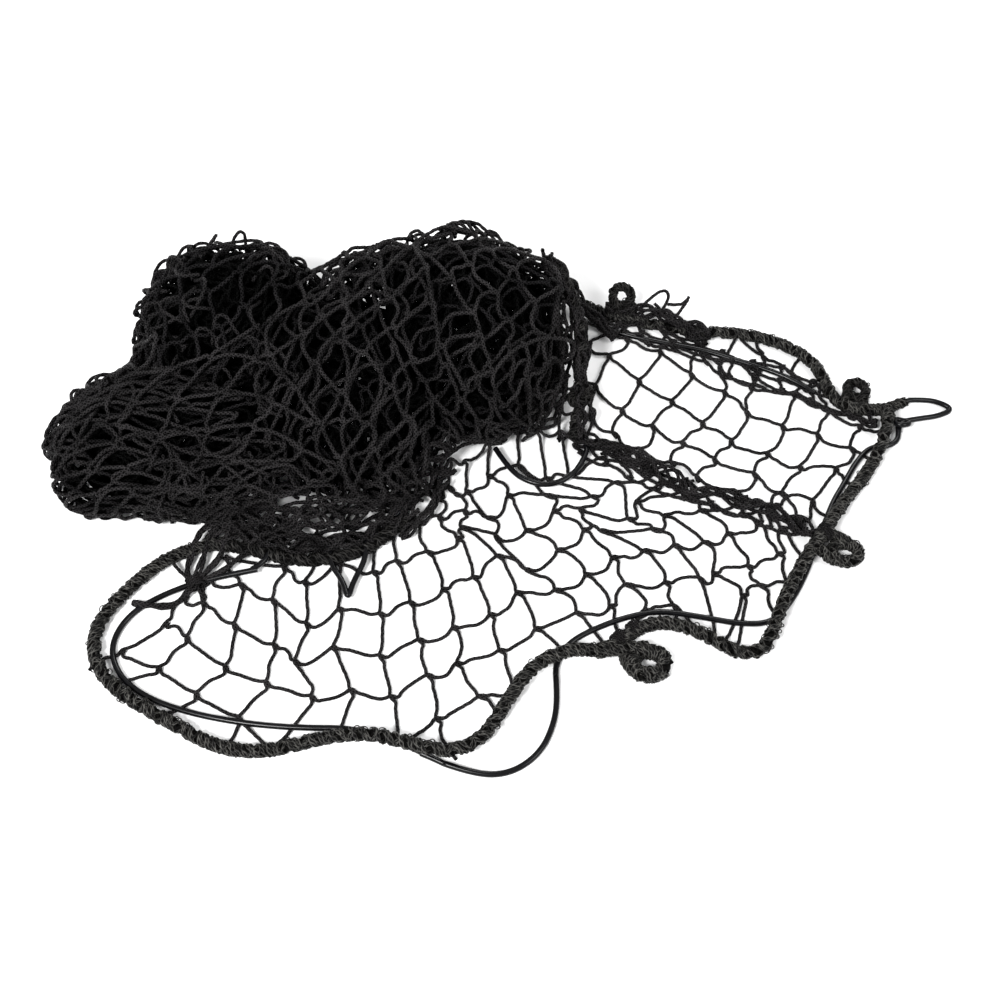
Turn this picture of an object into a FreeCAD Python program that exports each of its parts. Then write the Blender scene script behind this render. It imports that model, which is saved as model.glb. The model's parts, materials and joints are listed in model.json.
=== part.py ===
"""Short tennis net with its roped border and threaded cord, lying half gathered on the floor.

Millimetres, +Z up, +X along the length, the floor at Z = 0 and the origin under the middle.
The netting is made as plain closed volumes: the lobes of the gathered heap, and the thin
panels that lie spread. The border rope, its eyelets and the threaded cord have their real
sections and routes. The eyelets and the two free bights of the cord are what swings.
"""
import FreeCAD, Part

import math
import os

Vector = FreeCAD.Vector

# ---------------------------------------------------------------- driving dimensions
SIZES = {
    "RopeDiameter": 14.0,        # overlocked border rope
    "SleeveDiameter": 12.0,      # rope end that the cord leaves at the corner
    "CordDiameter": 6.0,         # smooth coated cord
    "FoldDiameter": 16.0,        # bunched netting along the fold
    "TwineDiameter": 3.8,        # netting twine, and so the spread panels' thickness
    "HeapGap": 0.5,              # room between neighbouring lobes of the heap
    "NearEyeletRing": 16.5,      # each ring: radius of its middle line, then of its section
    "NearEyeletSection": 9.0,
    "RightEyeletRing": 14.0,
    "RightEyeletSection": 7.0,
    "SmallEyeletRing": 11.0,
    "SmallEyeletSection": 6.0,
}

# Lobes of the gathered heap: centre, then half length, half depth and half height.
# Each lobe gives way to those named before it.
LOBES = {
    "heap_middle": ((-170, 118, 32), (130, 132, 110)),
    "heap_right": ((-52, 176, 40), (118, 125, 134)),
    "heap_rear_left": ((-300, 184, 42), (106, 112, 102)),
    "heap_left": ((-335, 58, 25), (150, 92, 72)),
    "front_tangle": ((-215, -10, 0), (105, 44, 34)),
    "right_tangle": ((-80, 50, 0), (80, 50, 46)),
}

# Outlines of the netting that lies spread, seen from above.
PANELS = {
    "front_panel": [(-262, -80), (-330, -84), (-368, -114), (-388, -150), (-380, -184), (-348, -208),
                    (-304, -236), (-262, -258), (-222, -262), (-176, -250), (-130, -246), (-90, -254),
                    (-58, -258), (-40, -248), (-22, -222), (8, -184), (48, -160), (96, -146),
                    (122, -130), (158, -126), (194, -144), (222, -158), (238, -154), (250, -126),
                    (276, -84), (298, -54), (287, -44), (264, -26), (233, -15), (189, -1), (147, 31),
                    (117, 49), (88, 56), (84, 40), (20, -6), (-90, -40), (-140, -78), (-215, -88)],
    "rear_panel": [(98, 70), (124, 71), (153, 50), (195, 20), (237, 8), (275, -4), (306, -26),
                   (350, 12), (374, 40), (394, 84), (390, 100), (352, 116), (342, 150), (324, 178),
                   (296, 198), (262, 206), (216, 208), (170, 216), (134, 226), (98, 232)],
}

# Routes of the ropes and cords, by the corners that their smooth lines round off.
ROUTES = {
    "gathered_band": [(-110, -28, 7), (-132, -56, 7), (-172, -74, 7), (-220, -78, 7), (-262, -64, 7),
                      (-298, -57, 7)],
    "border_front": [(-301, -57, 7), (-340, -66, 7), (-377, -100, 7), (-409, -146, 7), (-406, -188, 7),
                     (-378, -220, 7), (-330, -247, 7), (-272, -279, 7), (-224, -281, 7),
                     (-178, -268, 9), (-134, -266, 18), (-96, -276, 18), (-60, -286, 18),
                     (-28, -272, 9), (-6, -236, 9), (20, -198, 18), (58, -180, 18), (90, -180, 9),
                     (110, -167, 7)],
    "border_middle": [(111, -166, 7), (126, -152, 7), (158, -146, 7), (192, -160, 7), (224, -182, 7),
                      (249, -177, 9), (261, -150, 18), (275, -120, 18), (290, -94, 12), (304, -72, 18),
                      (318, -54, 18)],
    "border_right": [(319, -53, 18), (333, -32, 18), (354, -2, 8), (378, 26, 7), (396, 54, 14),
                     (408, 80, 17), (414, 104, 14)],
    "border_far": [(411, 112, 8), (382, 110, 7), (356, 128, 7), (350, 164, 7), (334, 190, 7),
                   (302, 210, 7), (262, 221, 7), (216, 223, 7), (172, 231, 7), (132, 243, 7)],
    "border_heap_end": [(131, 243, 7), (106, 250, 8), (82, 262, 12), (60, 272, 20)],
    "border_heap_side": [(44, 242, 104), (62, 222, 94), (74, 193, 77), (79, 162, 60), (77, 131, 42)],
    "border_heap_foot": [(73, 95, 23), (72, 84, 15), (70, 74, 9)],
    "cord_left": [(-256, -88, 8), (-302, -96, 5), (-346, -112, 3), (-380, -136, 3), (-393, -170, 3),
                  (-380, -202, 3), (-350, -225, 3), (-306, -241, 3), (-256, -251, 3), (-205, -256, 3),
                  (-150, -256, 3), (-106, -268, 3), (-72, -286, 3)],
    "cord_front_bight": [(-62, -291, 3), (-32, -302, 3), (0, -301, 3), (28, -281, 3), (42, -250, 3),
                         (45, -222, 3), (44, -202, 3)],
    "cord_middle": [(44, -196, 3), (48, -180, 3), (62, -164, 3), (86, -151, 3), (116, -139, 3),
                    (150, -132, 3), (190, -139, 3), (228, -147, 3), (260, -146, 3), (282, -122, 3),
                    (300, -92, 3), (312, -64, 3), (325, -38, 3), (339, -6, 3), (356, 20, 3),
                    (372, 46, 3), (390, 66, 3), (410, 66, 3), (424, 76, 4), (424, 90, 5)],
    "cord_corner_bight": [(429, 98, 5), (450, 103, 4), (472, 107, 3), (490, 116, 3), (474, 126, 4),
                          (456, 127, 6), (441, 125, 8)],
    "corner_sleeve": [(419, 114, 8), (428, 119, 8), (437, 123, 8)],
    "cord_rear": [(340, 138, 4), (320, 156, 3), (290, 172, 3), (254, 186, 3), (220, 200, 3),
                  (184, 208, 3), (146, 218, 3), (112, 230, 3), (84, 244, 4)],
    "cord_mid_bight": [(-15, 60, 9), (-4, 40, 8), (14, 20, 8), (42, 12, 8), (68, 26, 8), (78, 42, 8)],
    "cord_kinked_bight": [(-176, -90, 7), (-168, -101, 7), (-162, -122, 7), (-158, -101, 7),
                          (-153, -90, 7)],
    "netting_fold": [(90, 66, 8), (124, 58, 8), (154, 40, 8), (194, 9, 8), (236, -5, 8),
                     (270, -15, 8), (294, -34, 8)],
}

DIAMETER_OF = {"gathered_band": "RopeDiameter", "corner_sleeve": "SleeveDiameter",
               "netting_fold": "FoldDiameter"}

# Eyelets: centre, ring and section sizes, direction of the rope at the neck (degrees from +X)
# and how far the ring leans up from the floor (degrees).
EYELETS = {
    "eyelet_near": ((134, -192, 9), "NearEyelet", 48, 0),
    "eyelet_right": ((343, -68, 7), "RightEyelet", 56, 0),
    "eyelet_corner": ((386, 140, 6.5), "SmallEyelet", 141, 0),
    "eyelet_far": ((130, 261, 25), "SmallEyelet", 166, -45),
    "eyelet_heap": ((77, 113, 33), "SmallEyelet", 90, -27),
}


# ---------------------------------------------------------------- document and sheet
doc = FreeCAD.newDocument("TennisNet")
sheet = doc.addObject("Spreadsheet::Sheet", "Sizes")
for row, (alias, value) in enumerate(SIZES.items(), start=1):
    sheet.set(f"A{row}", alias)
    sheet.set(f"B{row}", str(value))
    sheet.setAlias(f"B{row}", alias)
doc.recompute()


def size(alias):
    return float(sheet.get(alias))


# ---------------------------------------------------------------- tubes along a route
def corner_radius(before, corner, after):
    """Largest radius that a corner's two runs allow, with room for the next corners."""
    turn = (corner - before).getAngle(after - corner)
    shorter = min((corner - before).Length, (after - corner).Length)
    return 0.45 * shorter / math.tan(turn / 2)


def rounded_path(points):
    """Straight runs joined by tangent arcs, and the list of the arcs' radii."""
    edges = []
    radii = []
    start = points[0]
    for before, corner, after in zip(points, points[1:], points[2:]):
        incoming = (corner - before).normalize()
        outgoing = (after - corner).normalize()
        turn = incoming.getAngle(outgoing)
        radius = corner_radius(before, corner, after)
        trim = radius * math.tan(turn / 2)
        entry = corner - incoming * trim
        leave = corner + outgoing * trim
        inward = (outgoing - incoming).normalize()
        middle = corner + inward * (radius / math.cos(turn / 2) - radius)
        edges.append(Part.LineSegment(start, entry).toShape())
        edges.append(Part.Arc(entry, middle, leave).toShape())
        radii.append(radius)
        start = leave
    edges.append(Part.LineSegment(start, points[-1]).toShape())
    return Part.Wire(edges), radii


def tube(name, points, diameter):
    """Round tube along the route, checked against its section times its length."""
    path, radii = rounded_path(points)
    heading = (points[1] - points[0]).normalize()
    section = Part.Wire(Part.makeCircle(diameter / 2, points[0], heading))
    solid = path.makePipeShell([section], True, True)
    expected = math.pi * diameter ** 2 / 4 * path.Length
    print(f"{name}: length {path.Length:.0f} mm, smallest radius {min(radii):.0f} mm,"
          f" volume ratio {solid.Volume / expected:.4f}")
    return solid


def add_route(name):
    """Rope, cord or bunched netting as a feature of its own."""
    default = "CordDiameter" if name.startswith("cord") else "RopeDiameter"
    points = [Vector(*point) for point in ROUTES[name]]
    feature = doc.addObject("Part::Feature", name)
    feature.Label = name
    feature.Shape = tube(name, points, size(DIAMETER_OF.get(name, default)))
    feature.Placement = FreeCAD.Placement()
    return feature


# ---------------------------------------------------------------- gathered heap
def add_ellipsoid(name, centre, halves, gap="0"):
    """Ellipsoid with its half sizes bound, each of them grown by a gap."""
    lobe = doc.addObject("Part::Ellipsoid", name)
    for radius, half in zip(("Radius2", "Radius3", "Radius1"), halves):
        lobe.setExpression(radius, f"({half} + {gap}) * 1 mm")
    lobe.Placement = FreeCAD.Placement(Vector(*centre), FreeCAD.Rotation())
    return lobe


def add_above_floor(name, base):
    """The part of a solid that is above the floor, with a flat underside to rest on."""
    reach = 700
    room = doc.addObject("Part::Box", f"{name}_room")
    room.Length = 2 * reach
    room.Width = 2 * reach
    room.Height = reach
    room.Placement = FreeCAD.Placement(Vector(-reach, -reach, 0), FreeCAD.Rotation())
    flat = doc.addObject("Part::Common", name)
    flat.Base = base
    flat.Tool = room
    return flat


def add_heap():
    """Lobes side by side: each is cut back from the lobes made before it."""
    made = []
    earlier = {}
    for name, (centre, halves) in LOBES.items():
        solid = add_ellipsoid(f"{name}_full", centre, halves)
        for other, (other_centre, other_halves) in earlier.items():
            cutter = add_ellipsoid(f"{name}_from_{other}", other_centre, other_halves,
                                   "Sizes.HeapGap")
            cut = doc.addObject("Part::Cut", f"{name}_less_{other}")
            cut.Base = solid
            cut.Tool = cutter
            solid = cut
        flat = add_above_floor(name, solid)
        flat.Label = name
        made.append(flat)
        earlier[name] = (centre, halves)
    return made


# ---------------------------------------------------------------- spread panels
def add_panel(name):
    """Thin sheet of netting: its outline padded to the twine's thickness."""
    corners = [Vector(x, y, 0) for x, y in PANELS[name]]
    outline = doc.addObject("Part::Feature", f"{name}_outline")
    outline.Shape = Part.Face(Part.makePolygon(corners + corners[:1]))
    panel = doc.addObject("Part::Extrusion", name)
    panel.Label = name
    panel.Base = outline
    panel.DirMode = "Custom"
    panel.Dir = Vector(0, 0, 1)
    panel.Solid = True
    panel.setExpression("LengthFwd", "Sizes.TwineDiameter * 1 mm")
    return panel


# ---------------------------------------------------------------- eyelets
def add_eyelet(name):
    """Closed rope ring beside the border, leaning about the rope's direction."""
    centre, cells, heading, lean = EYELETS[name]
    ring = doc.addObject("Part::Torus", name)
    ring.Label = name
    ring.setExpression("Radius1", f"Sizes.{cells}Ring * 1 mm")
    ring.setExpression("Radius2", f"Sizes.{cells}Section * 1 mm")
    axis = Vector(math.cos(math.radians(heading)), math.sin(math.radians(heading)), 0)
    ring.Placement = FreeCAD.Placement(Vector(*centre), FreeCAD.Rotation(axis, lean))
    return ring


# ---------------------------------------------------------------- build, check and write
def check(features):
    """Stop if any object failed, or any sub-part is null or invalid."""
    doc.recompute()
    for item in doc.Objects:
        if "Invalid" in item.State or "Error" in item.State:
            raise RuntimeError(f"{item.Label} did not recompute: {item.State}")
    for feature in features:
        if feature.Shape.isNull() or not feature.Shape.isValid():
            raise RuntimeError(f"{feature.Label} has no valid shape")


def write(features):
    os.makedirs("parts", exist_ok=True)
    for feature in features:
        feature.Shape.exportStep(os.path.join("parts", feature.Label + ".step"))


subparts = add_heap()
subparts += [add_panel(name) for name in PANELS]
subparts += [add_route(name) for name in ROUTES]
subparts += [add_eyelet(name) for name in EYELETS]
check(subparts)
write(subparts)
for subpart in subparts:
    shape = subpart.Shape
    print(f"{subpart.Label}: {len(shape.Solids)} solid, {shape.Volume / 1000:.1f} cm3")
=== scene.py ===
"""Short tennis net, half gathered in a heap and half spread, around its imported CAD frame.

Metres, +Z up, the floor at Z = 0. The twine is laid out as lattices of bars, relaxed so that
each bar keeps its real length, and swept into lumpy braided tubes. The border is a rope core
with overlocked yarn, and the threaded cord is one smooth tube per free stretch.
"""
import json
import math

import bpy
import numpy as np
from mathutils import Matrix, Vector


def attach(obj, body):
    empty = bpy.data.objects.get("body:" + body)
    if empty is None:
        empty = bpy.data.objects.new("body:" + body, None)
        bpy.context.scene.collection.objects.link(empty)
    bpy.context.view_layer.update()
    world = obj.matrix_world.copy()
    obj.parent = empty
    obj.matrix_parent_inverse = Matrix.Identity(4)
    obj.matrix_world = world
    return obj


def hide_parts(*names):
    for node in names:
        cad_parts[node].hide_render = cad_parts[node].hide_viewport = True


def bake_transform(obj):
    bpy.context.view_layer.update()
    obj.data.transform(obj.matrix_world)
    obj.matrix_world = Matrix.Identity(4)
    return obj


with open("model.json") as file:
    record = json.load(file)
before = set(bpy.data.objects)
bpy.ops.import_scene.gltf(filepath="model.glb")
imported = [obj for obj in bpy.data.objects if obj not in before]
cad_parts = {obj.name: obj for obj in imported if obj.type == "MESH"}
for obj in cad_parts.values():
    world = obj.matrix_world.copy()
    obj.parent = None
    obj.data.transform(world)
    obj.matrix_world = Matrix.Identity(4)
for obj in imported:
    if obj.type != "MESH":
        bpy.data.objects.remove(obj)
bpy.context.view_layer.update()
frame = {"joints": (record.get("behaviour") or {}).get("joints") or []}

MM = 0.001

# ---- driving sizes
BAR = 0.045                  # netting: length of twine between two joints
TWINE = 0.0019               # radius of the twine
KISS = 0.0076                # how far two strands run side by side where they join
STEPS = 4                    # lengths that a bar is divided into
ROPE = 0.007                 # radius of the border rope with its fuzz
SLEEVE = 0.006               # radius of the rope end that the cord leaves at the corner
PULLED = 0.88                # share of those radii at which the rope's yarns are wound
CORD = 0.003                 # radius of the smooth cord

# ---- routes, in millimetres
ROUTES = {
    "gathered_band": [(-110, -28, 7), (-132, -56, 7), (-172, -74, 7), (-220, -78, 7),
        (-262, -64, 7), (-298, -57, 7)],
    "border_front": [(-301, -57, 7), (-340, -66, 7), (-377, -100, 7), (-409, -146, 7),
        (-406, -188, 7), (-378, -220, 7), (-330, -247, 7), (-272, -279, 7), (-224, -281, 7),
        (-178, -268, 9), (-134, -266, 18), (-96, -276, 18), (-60, -286, 18), (-28, -272, 9),
        (-6, -236, 9), (20, -198, 18), (58, -180, 18), (90, -180, 9), (110, -167, 7)],
    "border_middle": [(111, -166, 7), (126, -152, 7), (158, -146, 7), (192, -160, 7),
        (224, -182, 7), (249, -177, 9), (261, -150, 18), (275, -120, 18), (290, -94, 12),
        (304, -72, 18), (318, -54, 18)],
    "border_right": [(319, -53, 18), (333, -32, 18), (354, -2, 8), (378, 26, 7), (396, 54, 14),
        (408, 80, 17), (414, 104, 14)],
    "border_far": [(411, 112, 8), (382, 110, 7), (356, 128, 7), (350, 164, 7), (334, 190, 7),
        (302, 210, 7), (262, 221, 7), (216, 223, 7), (172, 231, 7), (132, 243, 7)],
    "border_heap_end": [(131, 243, 7), (106, 250, 8), (82, 262, 12), (60, 272, 20)],
    "border_heap_side": [(44, 242, 104), (62, 222, 94), (74, 193, 77), (79, 162, 60),
        (77, 131, 42)],
    "border_heap_foot": [(73, 95, 23), (72, 84, 15), (70, 74, 9)],
    "cord_left": [(-256, -88, 8), (-302, -96, 5), (-346, -112, 3), (-380, -136, 3),
        (-393, -170, 3), (-380, -202, 3), (-350, -225, 3), (-306, -241, 3), (-256, -251, 3),
        (-205, -256, 3), (-150, -256, 3), (-106, -268, 3), (-72, -286, 3)],
    "cord_front_bight": [(-62, -291, 3), (-32, -302, 3), (0, -301, 3), (28, -281, 3),
        (42, -250, 3), (45, -222, 3), (44, -202, 3)],
    "cord_middle": [(44, -196, 3), (48, -180, 3), (62, -164, 3), (86, -151, 3), (116, -139, 3),
        (150, -132, 3), (190, -139, 3), (228, -147, 3), (260, -146, 3), (282, -122, 3),
        (300, -92, 3), (312, -64, 3), (325, -38, 3), (339, -6, 3), (356, 20, 3), (372, 46, 3),
        (390, 66, 3), (410, 66, 3), (424, 76, 4), (424, 90, 5)],
    "cord_corner_bight": [(429, 98, 5), (450, 103, 4), (472, 107, 3), (490, 116, 3),
        (474, 126, 4), (456, 127, 6), (441, 125, 8)],
    "corner_sleeve": [(419, 114, 8), (428, 119, 8), (437, 123, 8)],
    "cord_rear": [(340, 138, 4), (320, 156, 3), (290, 172, 3), (254, 186, 3), (220, 200, 3),
        (184, 208, 3), (146, 218, 3), (112, 230, 3), (84, 244, 4)],
    "cord_mid_bight": [(-15, 60, 9), (-4, 40, 8), (14, 20, 8), (42, 12, 8), (68, 26, 8),
        (78, 42, 8)],
    "cord_kinked_bight": [(-176, -90, 7), (-168, -101, 7), (-162, -122, 7), (-158, -101, 7),
        (-153, -90, 7)],
}

# Lobes of the heap: centre, then half length, half depth and half height.
LOBES = {
    "heap_middle": ((-170, 118, 32), (130, 132, 110)),
    "heap_right": ((-52, 176, 40), (118, 125, 134)),
    "heap_rear_left": ((-300, 184, 42), (106, 112, 102)),
    "heap_left": ((-335, 58, 25), (150, 92, 72)),
    "front_tangle": ((-215, -10, 0), (105, 44, 34)),
    "right_tangle": ((-80, 50, 0), (80, 50, 46)),
}


# ---- camera, light and floor
def wire(tree, node, inputs):
    """Sets a node's inputs to values, or links them to other nodes' outputs."""
    for socket, value in inputs.items():
        if isinstance(value, bpy.types.NodeSocket):
            tree.links.new(value, node.inputs[socket])
        else:
            node.inputs[socket].default_value = value


def new_material(name):
    material = bpy.data.materials.new(name)
    material.use_nodes = True
    return material, material.node_tree, material.node_tree.nodes["Principled BSDF"]


def aimed(name, data, place, target):
    """Camera or light at a place, turned to a target."""
    thing = bpy.data.objects.new(name, data)
    bpy.context.scene.collection.objects.link(thing)
    thing.location = place
    thing.rotation_euler = (Vector(target) - thing.location).to_track_quat("-Z", "Y").to_euler()
    return thing


def make_camera():
    """Seen from in front and above, the way the net lies."""
    elevation, distance, target = math.radians(58.0), 1.32, Vector((-0.010, 0.0, 0.0))
    data = bpy.data.cameras.new("camera")
    data.lens, data.sensor_width = 45.0, 36.0
    place = target + distance * Vector((0, -math.cos(elevation), math.sin(elevation)))
    bpy.context.scene.camera = aimed("camera", data, place, target)


def make_studio():
    for name, place, size, power in (("key", (-1.0, -1.4, 2.1), 0.7, 84),
                                     ("fill", (1.7, -0.9, 1.9), 1.0, 26),
                                     ("back", (0.5, 1.9, 2.0), 0.8, 28)):
        data = bpy.data.lights.new(name, "AREA")
        data.shape, data.size, data.energy = "DISK", size, power
        aimed(name, data, place, (0, 0, 0))
    world = bpy.data.worlds.new("studio")
    world.use_nodes = True
    background = world.node_tree.nodes["Background"]
    wire(world.node_tree, background, {"Color": (1, 1, 1, 1), "Strength": 0.62})
    bpy.context.scene.world = world
    bpy.context.scene.view_settings.view_transform = "Standard"
    bpy.ops.mesh.primitive_plane_add(size=40.0, location=(0, 0, -0.0005))
    floor = bpy.context.object
    floor.name = "floor"
    paper, tree, shader = new_material("floor_paper")
    wire(tree, shader, {"Base Color": (0.92, 0.92, 0.92, 1), "Roughness": 0.9})
    floor.data.materials.append(paper)


make_camera()
make_studio()


# ---- smooth lines
def spline_curve(name, route):
    """Curve object with one open quadratic NURBS spline through the route's corners."""
    data = bpy.data.curves.new(name, "CURVE")
    data.dimensions = "3D"
    data.resolution_u = 10
    spline = data.splines.new("NURBS")
    spline.points.add(len(route) - 1)
    for point, corner in zip(spline.points, route):
        point.co = (*(MM * value for value in corner), 1.0)
    spline.order_u = 3
    spline.use_endpoint_u = True
    curve = bpy.data.objects.new(name, data)
    bpy.context.scene.collection.objects.link(curve)
    return curve


def line_through(route):
    """Points along a route's smooth line, as Blender evaluates it."""
    guide = spline_curve("guide", route)
    bpy.context.view_layer.update()
    graph = bpy.context.evaluated_depsgraph_get()
    mesh = bpy.data.meshes.new_from_object(guide.evaluated_get(graph))
    points = np.array([vertex.co for vertex in mesh.vertices], float)
    bpy.data.meshes.remove(mesh)
    bpy.data.objects.remove(guide)
    return points


def length_of(points):
    return float(np.linalg.norm(np.diff(points, axis=0), axis=1).sum())


def even_line(points, count):
    """The same line through a number of evenly spaced points."""
    gaps = np.linalg.norm(np.diff(points, axis=0), axis=1)
    along = np.concatenate([[0.0], np.cumsum(gaps)])
    at = np.linspace(0.0, along[-1], count)
    return np.stack([np.interp(at, along, points[:, axis]) for axis in range(3)], axis=1)


LINES = {name: line_through(route) for name, route in ROUTES.items()}


# ---- materials
def new_node(tree, kind, inputs, output=0, **settings):
    """Output of a new shader node with these settings and inputs."""
    node = tree.nodes.new("ShaderNode" + kind)
    for setting, value in settings.items():
        setattr(node, setting, value)
    wire(tree, node, inputs)
    return node.outputs[output]


def noise(tree, scale, detail):
    """Noise over object coordinates."""
    place = new_node(tree, "TexCoord", {}, "Object")
    place = new_node(tree, "Mapping", {"Scale": scale, "Vector": place})
    return new_node(tree, "TexNoise", {"Scale": 1.0, "Detail": detail, "Vector": place}, "Fac")


def ramp(tree, factor, *stops):
    """Colour that runs between two stops, each a position and a colour."""
    node = tree.nodes.new("ShaderNodeValToRGB")
    for element, (position, colour) in zip(node.color_ramp.elements, stops):
        element.position, element.color = position, (*colour, 1)
    wire(tree, node, {"Fac": factor})
    return node.outputs["Color"]


def twine_material(name, dark, light, pitch, bump, roughness, shine, patches, stops):
    """Braided twine: yarns cross along the strand, fibres fuzz them, and tone drifts.

    dark is a grey, light a colour, and stops say where the tone leaves dark and reaches light.
    """
    material, tree, shader = new_material(name)
    yarns, wave_scale = 3, 2 * math.pi / 5     # the bands then meet where the map wraps round
    weave = []
    for turn in (1.0, -1.0):
        place = new_node(tree, "Mapping", {
            "Scale": (turn * yarns * wave_scale, wave_scale / pitch, 1.0),
            "Vector": new_node(tree, "UVMap", {}, uv_map="strand")})
        wave = {"Scale": 0.5, "Distortion": 0.4, "Detail": 1.0, "Vector": place}
        weave.append(new_node(tree, "TexWave", wave, "Fac", wave_type="BANDS",
                              bands_direction="DIAGONAL"))
    weave = new_node(tree, "Math", {0: weave[0], 1: weave[1]}, operation="MAXIMUM")
    fibre = noise(tree, (1800, 1800, 1800), 3.0)
    drift = new_node(tree, "Math", {0: noise(tree, (patches, patches, patches), 2.0), 1: 0.6},
                     operation="MULTIPLY")
    # The colour follows the braid: painted shade in the grooves between the yarns and a painted
    # highlight on their crests; the drift is tone that varies at random.
    tone = new_node(tree, "Math", {0: weave, 1: 0.55, 2: drift}, operation="MULTIPLY_ADD")
    height = new_node(tree, "Math", {0: fibre, 1: 0.35, 2: weave}, operation="MULTIPLY_ADD")
    wire(tree, shader, {
        "Base Color": ramp(tree, tone, (stops[0], (dark, dark, dark)), (stops[1], light)),
        "Normal": new_node(tree, "Bump", {"Strength": 0.9, "Distance": bump, "Height": height}),
        "Roughness": new_node(tree, "MapRange", {
            "From Min": 0.35, "To Min": 1.0, "To Max": roughness, "Value": tone}),
        "Specular IOR Level": shine})
    return material


def cord_material():
    """Smooth coated cord: satin black with a faint grain, scuffs and dust."""
    material, tree, shader = new_material("coated_cord")
    grain = noise(tree, (900, 900, 900), 4.0)
    scuff = noise(tree, (60, 60, 140), 5.0)
    wire(tree, shader, {
        "Base Color": ramp(tree, scuff, (0.35, (0.0012, 0.0012, 0.0015)),
                           (0.75, (0.0042, 0.0042, 0.0052))),
        "Roughness": new_node(tree, "MapRange", {"To Min": 0.16, "To Max": 0.30, "Value": scuff}),
        "Normal": new_node(tree, "Bump", {"Strength": 0.25, "Distance": 0.0001, "Height": grain}),
        "Specular IOR Level": 0.18})
    return material


TWINE_LOOK = twine_material("netting_twine", 0.0002, (0.028, 0.026, 0.027),
                            0.0046, 0.0012, 0.23, 0.07, 45, (0.50, 1.0))
# Painted shade: darker, less shiny copies of the same twine, for netting deep in the heap and
# beneath it.
PAINTED_SHADE_LOOK = twine_material("twine_painted_shade", 0.0001, (0.017, 0.016, 0.017),
                          0.0046, 0.0012, 0.30, 0.03, 45, (0.50, 1.0))
PAINTED_DEEP_SHADE_LOOK = twine_material("twine_painted_deep_shade", 0.0001, (0.005, 0.005, 0.005),
                           0.0046, 0.0012, 0.45, 0.01, 45, (0.50, 1.0))
# The rope core is near black: painted shade in the gaps between the yarns.
PAINTED_SHADE_CORE_LOOK = twine_material("border_core_painted_shade", 0.0002, (0.0026, 0.0024, 0.0022),
                           0.0050, 0.0010, 0.45, 0.03, 60, (0.35, 0.95))
# The yarn's light flecks, on its crests, are painted glints.
YARN_LOOK = twine_material("border_yarn", 0.0003, (0.105, 0.102, 0.094),
                           0.0085, 0.0016, 0.15, 0.16, 170, (0.70, 1.0))
DARK_YARN_LOOK = twine_material("knotted_yarn", 0.0002, (0.045, 0.043, 0.041),
                                0.0100, 0.0014, 0.22, 0.09, 140, (0.66, 1.0))
CORD_LOOK = cord_material()


# ---- tubes in mesh
def b_spline(paths, per_corner):
    """Quadratic B-spline along bundles of paths: (strands, corners, 3) to (strands, rings, 3)."""
    middles = (paths[:, :-1] + paths[:, 1:]) / 2
    starts = np.concatenate([paths[:, :1], middles[:, 1:-1]], axis=1)
    ends = np.concatenate([middles[:, 1:-1], paths[:, -1:]], axis=1)
    corners = paths[:, 1:-1]
    t = (np.arange(per_corner) / per_corner)[None, None, :, None]
    a, b, c = starts[:, :, None], corners[:, :, None], ends[:, :, None]
    curve = (1 - t) ** 2 * a + 2 * t * (1 - t) * b + t * t * c
    curve = curve.reshape(len(paths), -1, 3)
    return np.concatenate([curve, paths[:, -1:]], axis=1)


def unit(vectors):
    return vectors / np.maximum(np.linalg.norm(vectors, axis=-1, keepdims=True), 1e-12)


def frames(lines):
    """Tangents and a side direction carried along each line without twisting."""
    tangents = unit(np.gradient(lines, axis=1))
    side = np.zeros_like(lines)
    guess = np.where(np.abs(tangents[:, 0, 2:3]) < 0.8, [[0.0, 0.0, 1.0]], [[1.0, 0.0, 0.0]])
    for ring in range(lines.shape[1]):
        tangent = tangents[:, ring]
        guess = unit(guess - (guess * tangent).sum(-1, keepdims=True) * tangent)
        side[:, ring] = guess
    return tangents, side, np.cross(tangents, side)


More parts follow.
